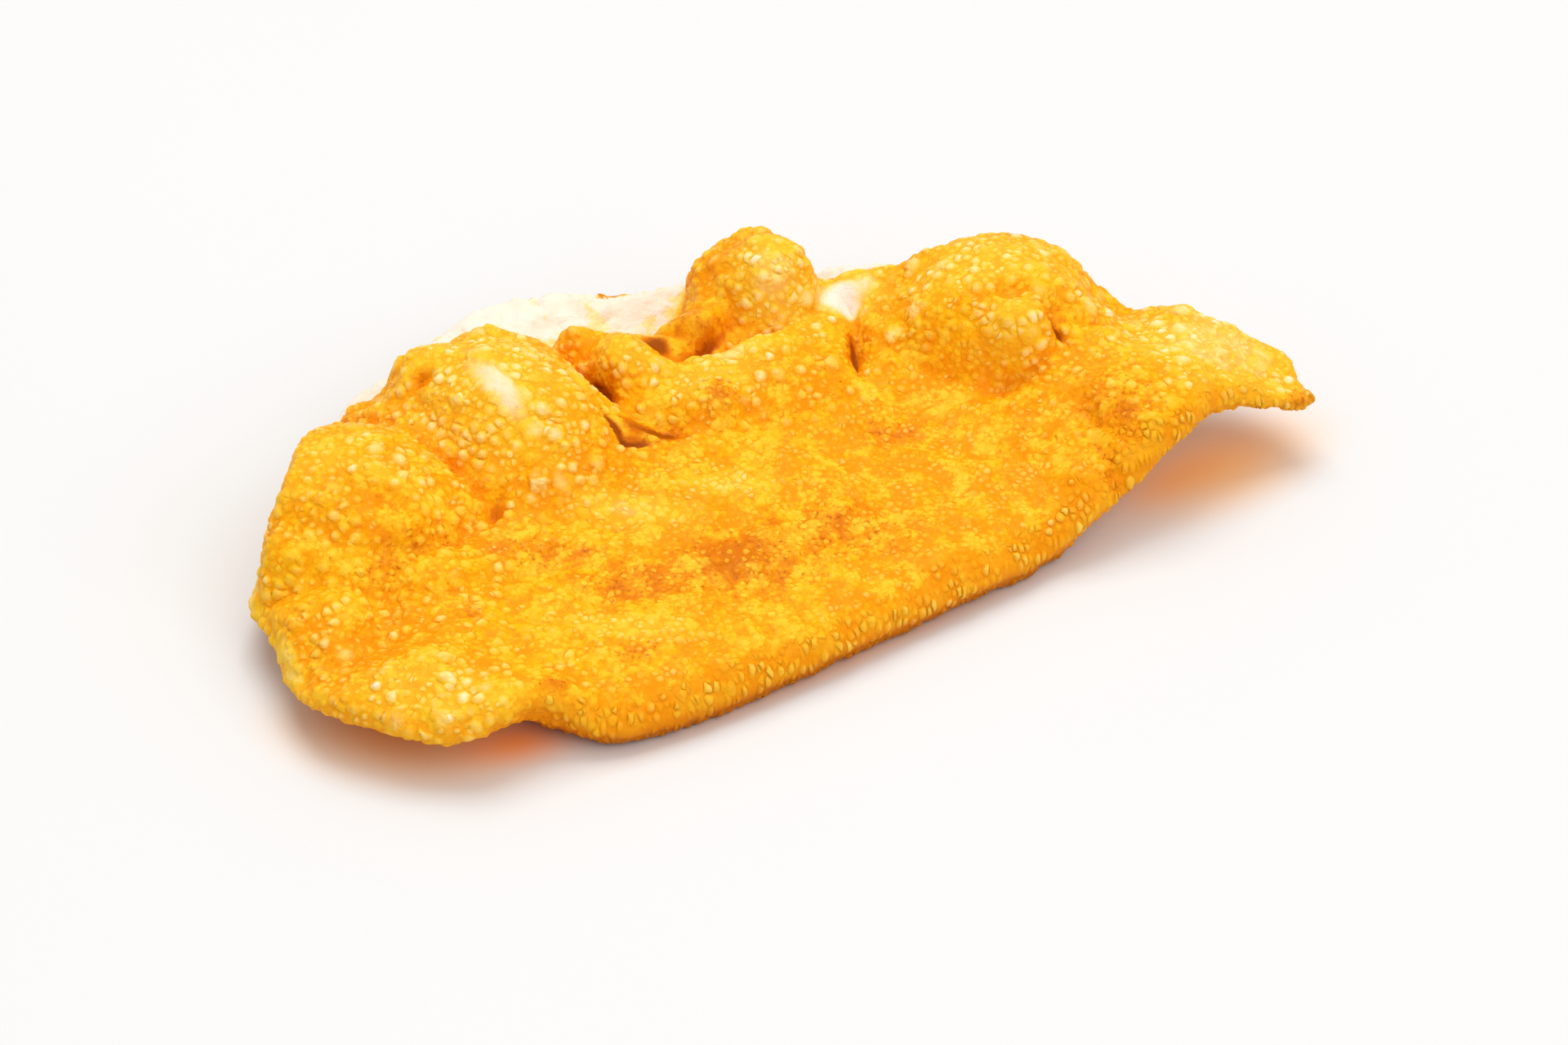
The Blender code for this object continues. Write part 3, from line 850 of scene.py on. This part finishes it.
class CHEBUREK_OT_crust(bpy.types.Operator):
    """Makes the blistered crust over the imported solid."""

    bl_idname = "cheburek.crust"
    bl_label = "Crust"

    def execute(self, context):
        shape = context.scene.cheburek_shape
        piece = base_skin(shape)
        size = {socket_name(name): getattr(shape, name) for name in (*BLISTER_SIZES, "seed")}
        raised = piece.modifiers.new("blisters", "NODES")
        raised.node_group = blistered_skin()
        set_inputs(raised, {**size, "Material": golden_crust(context.scene.cheburek_colours, size)})
        fewer = piece.modifiers.new("fewer", "DECIMATE")
        fewer.ratio = min(1.0, shape.triangles / (2 * len(piece.data.polygons)))
        mesh = evaluated_mesh(piece, "crust_skin")
        old = piece.data
        piece.modifiers.clear()
        piece.data = mesh
        bpy.data.meshes.remove(old)
        mesh.shade_smooth()
        if not mesh.polygons:
            raise RuntimeError("the crust's skin has no faces")
        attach(piece, BODY)
        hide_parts(NODE)
        return {"FINISHED"}


class CHEBUREK_OT_stage(bpy.types.Operator):
    """Makes the floor, the lights and the camera."""

    bl_idname = "cheburek.stage"
    bl_label = "Stage"

    def execute(self, context):
        look = context.scene.cheburek_stage
        bpy.ops.mesh.primitive_plane_add(size=FLOOR_SIDE)
        floor = context.object
        floor.name = "floor"
        floor.data.materials.append(pale_floor(look.floor_colour, look.glow, look.deep_glow))
        self.add_light(context, "key", look.key_power)
        self.add_light(context, "fill", look.fill_power)
        self.add_light(context, "top", look.fill_power * TOP_LIGHT_SHARE)
        self.add_world(context, look.sky)
        self.add_camera(context, look)
        context.scene.view_settings.view_transform = "Standard"
        return {"FINISHED"}

    def add_light(self, context, name, power):
        place, size, colour = LIGHTS[name]
        lamp = bpy.data.lights.new(name, "AREA")
        lamp.size = size
        lamp.energy = power
        lamp.color = colour
        light = bpy.data.objects.new(name, lamp)
        context.scene.collection.objects.link(light)
        light.location = place
        light.rotation_euler = (-Vector(place)).to_track_quat("-Z", "Y").to_euler()

    def add_world(self, context, strength):
        world = bpy.data.worlds.new("soft_sky")
        world.use_nodes = True
        background = world.node_tree.nodes["Background"]
        background.inputs["Color"].default_value = SKY_COLOUR
        background.inputs["Strength"].default_value = strength
        context.scene.world = world

    def add_camera(self, context, look):
        azimuth, elevation = look.azimuth, look.elevation
        back = Vector(
            (
                math.sin(azimuth) * math.cos(elevation),
                -math.cos(azimuth) * math.cos(elevation),
                math.sin(elevation),
            )
        )
        data = bpy.data.cameras.new("camera")
        data.lens = look.lens
        data.sensor_width = SENSOR_WIDTH
        camera = bpy.data.objects.new("camera", data)
        context.scene.collection.objects.link(camera)
        camera.location = Vector(look.target) + back * look.distance
        camera.rotation_euler = (-back).to_track_quat("-Z", "Y").to_euler()
        context.scene.camera = camera


class CHEBUREK_PT_steps(bpy.types.Panel):
    """Lists the steps and their settings."""

    bl_idname = "CHEBUREK_PT_steps"
    bl_label = "Cheburek"
    bl_space_type = "VIEW_3D"
    bl_region_type = "UI"
    bl_category = "Cheburek"

    def draw(self, context):
        scene = context.scene
        for settings in (scene.cheburek_shape, scene.cheburek_colours, scene.cheburek_stage):
            for name in type(settings).__annotations__:
                self.layout.prop(settings, name)
        self.layout.operator(CHEBUREK_OT_crust.bl_idname)
        self.layout.operator(CHEBUREK_OT_stage.bl_idname)


CLASSES = (CrustShape, CrustColours, StageLook, CHEBUREK_OT_crust, CHEBUREK_OT_stage, CHEBUREK_PT_steps)


def register():
    for cls in CLASSES:
        bpy.utils.register_class(cls)
    bpy.types.Scene.cheburek_shape = bpy.props.PointerProperty(type=CrustShape)
    bpy.types.Scene.cheburek_colours = bpy.props.PointerProperty(type=CrustColours)
    bpy.types.Scene.cheburek_stage = bpy.props.PointerProperty(type=StageLook)


def unregister():
    del bpy.types.Scene.cheburek_stage
    del bpy.types.Scene.cheburek_colours
    del bpy.types.Scene.cheburek_shape
    for cls in reversed(CLASSES):
        bpy.utils.unregister_class(cls)


def main():
    register()
    bpy.ops.cheburek.crust()
    bpy.ops.cheburek.stage()


if __name__ == "__main__":
    main()
